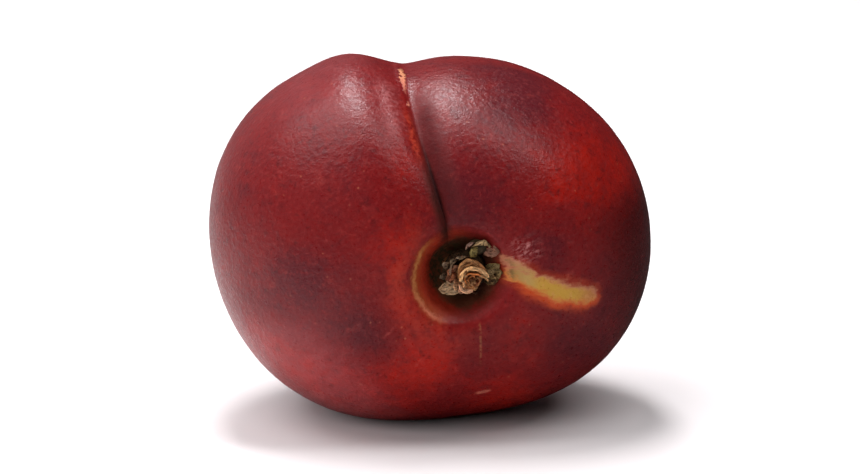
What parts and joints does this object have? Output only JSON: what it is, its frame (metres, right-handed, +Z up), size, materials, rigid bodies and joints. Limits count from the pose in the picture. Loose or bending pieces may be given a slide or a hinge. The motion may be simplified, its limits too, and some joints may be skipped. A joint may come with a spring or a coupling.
{
  "type": "nectarine",
  "caption": "Whole ripe nectarine lying on its side, with a furrowed suture, a stem cavity, a torn stalk stub and a small scaly bud beside it.",
  "frame": {"origin": "middle of the footprint, on the surface that the fruit rests on", "axes": "+Z up, -Y towards the side of the stem end, +X along the widest way across the cheeks"},
  "size_m": [0.0678, 0.06, 0.0548],
  "materials": {
    "skin": "smooth waxy skin with a soft shine, maroon and red with a yellow-green patch",
    "stalk_wood": "torn woody fibres",
    "dry_scale": "dry crumpled scales, matt",
    "bud_scale": "dry folded scales, matt"
  },
  "bodies": {
    "root": {"fruit": "skin", "stalk": "stalk_wood", "stalk_scales": "dry_scale", "side_bud": "bud_scale"}
  },
  "joints": []
}
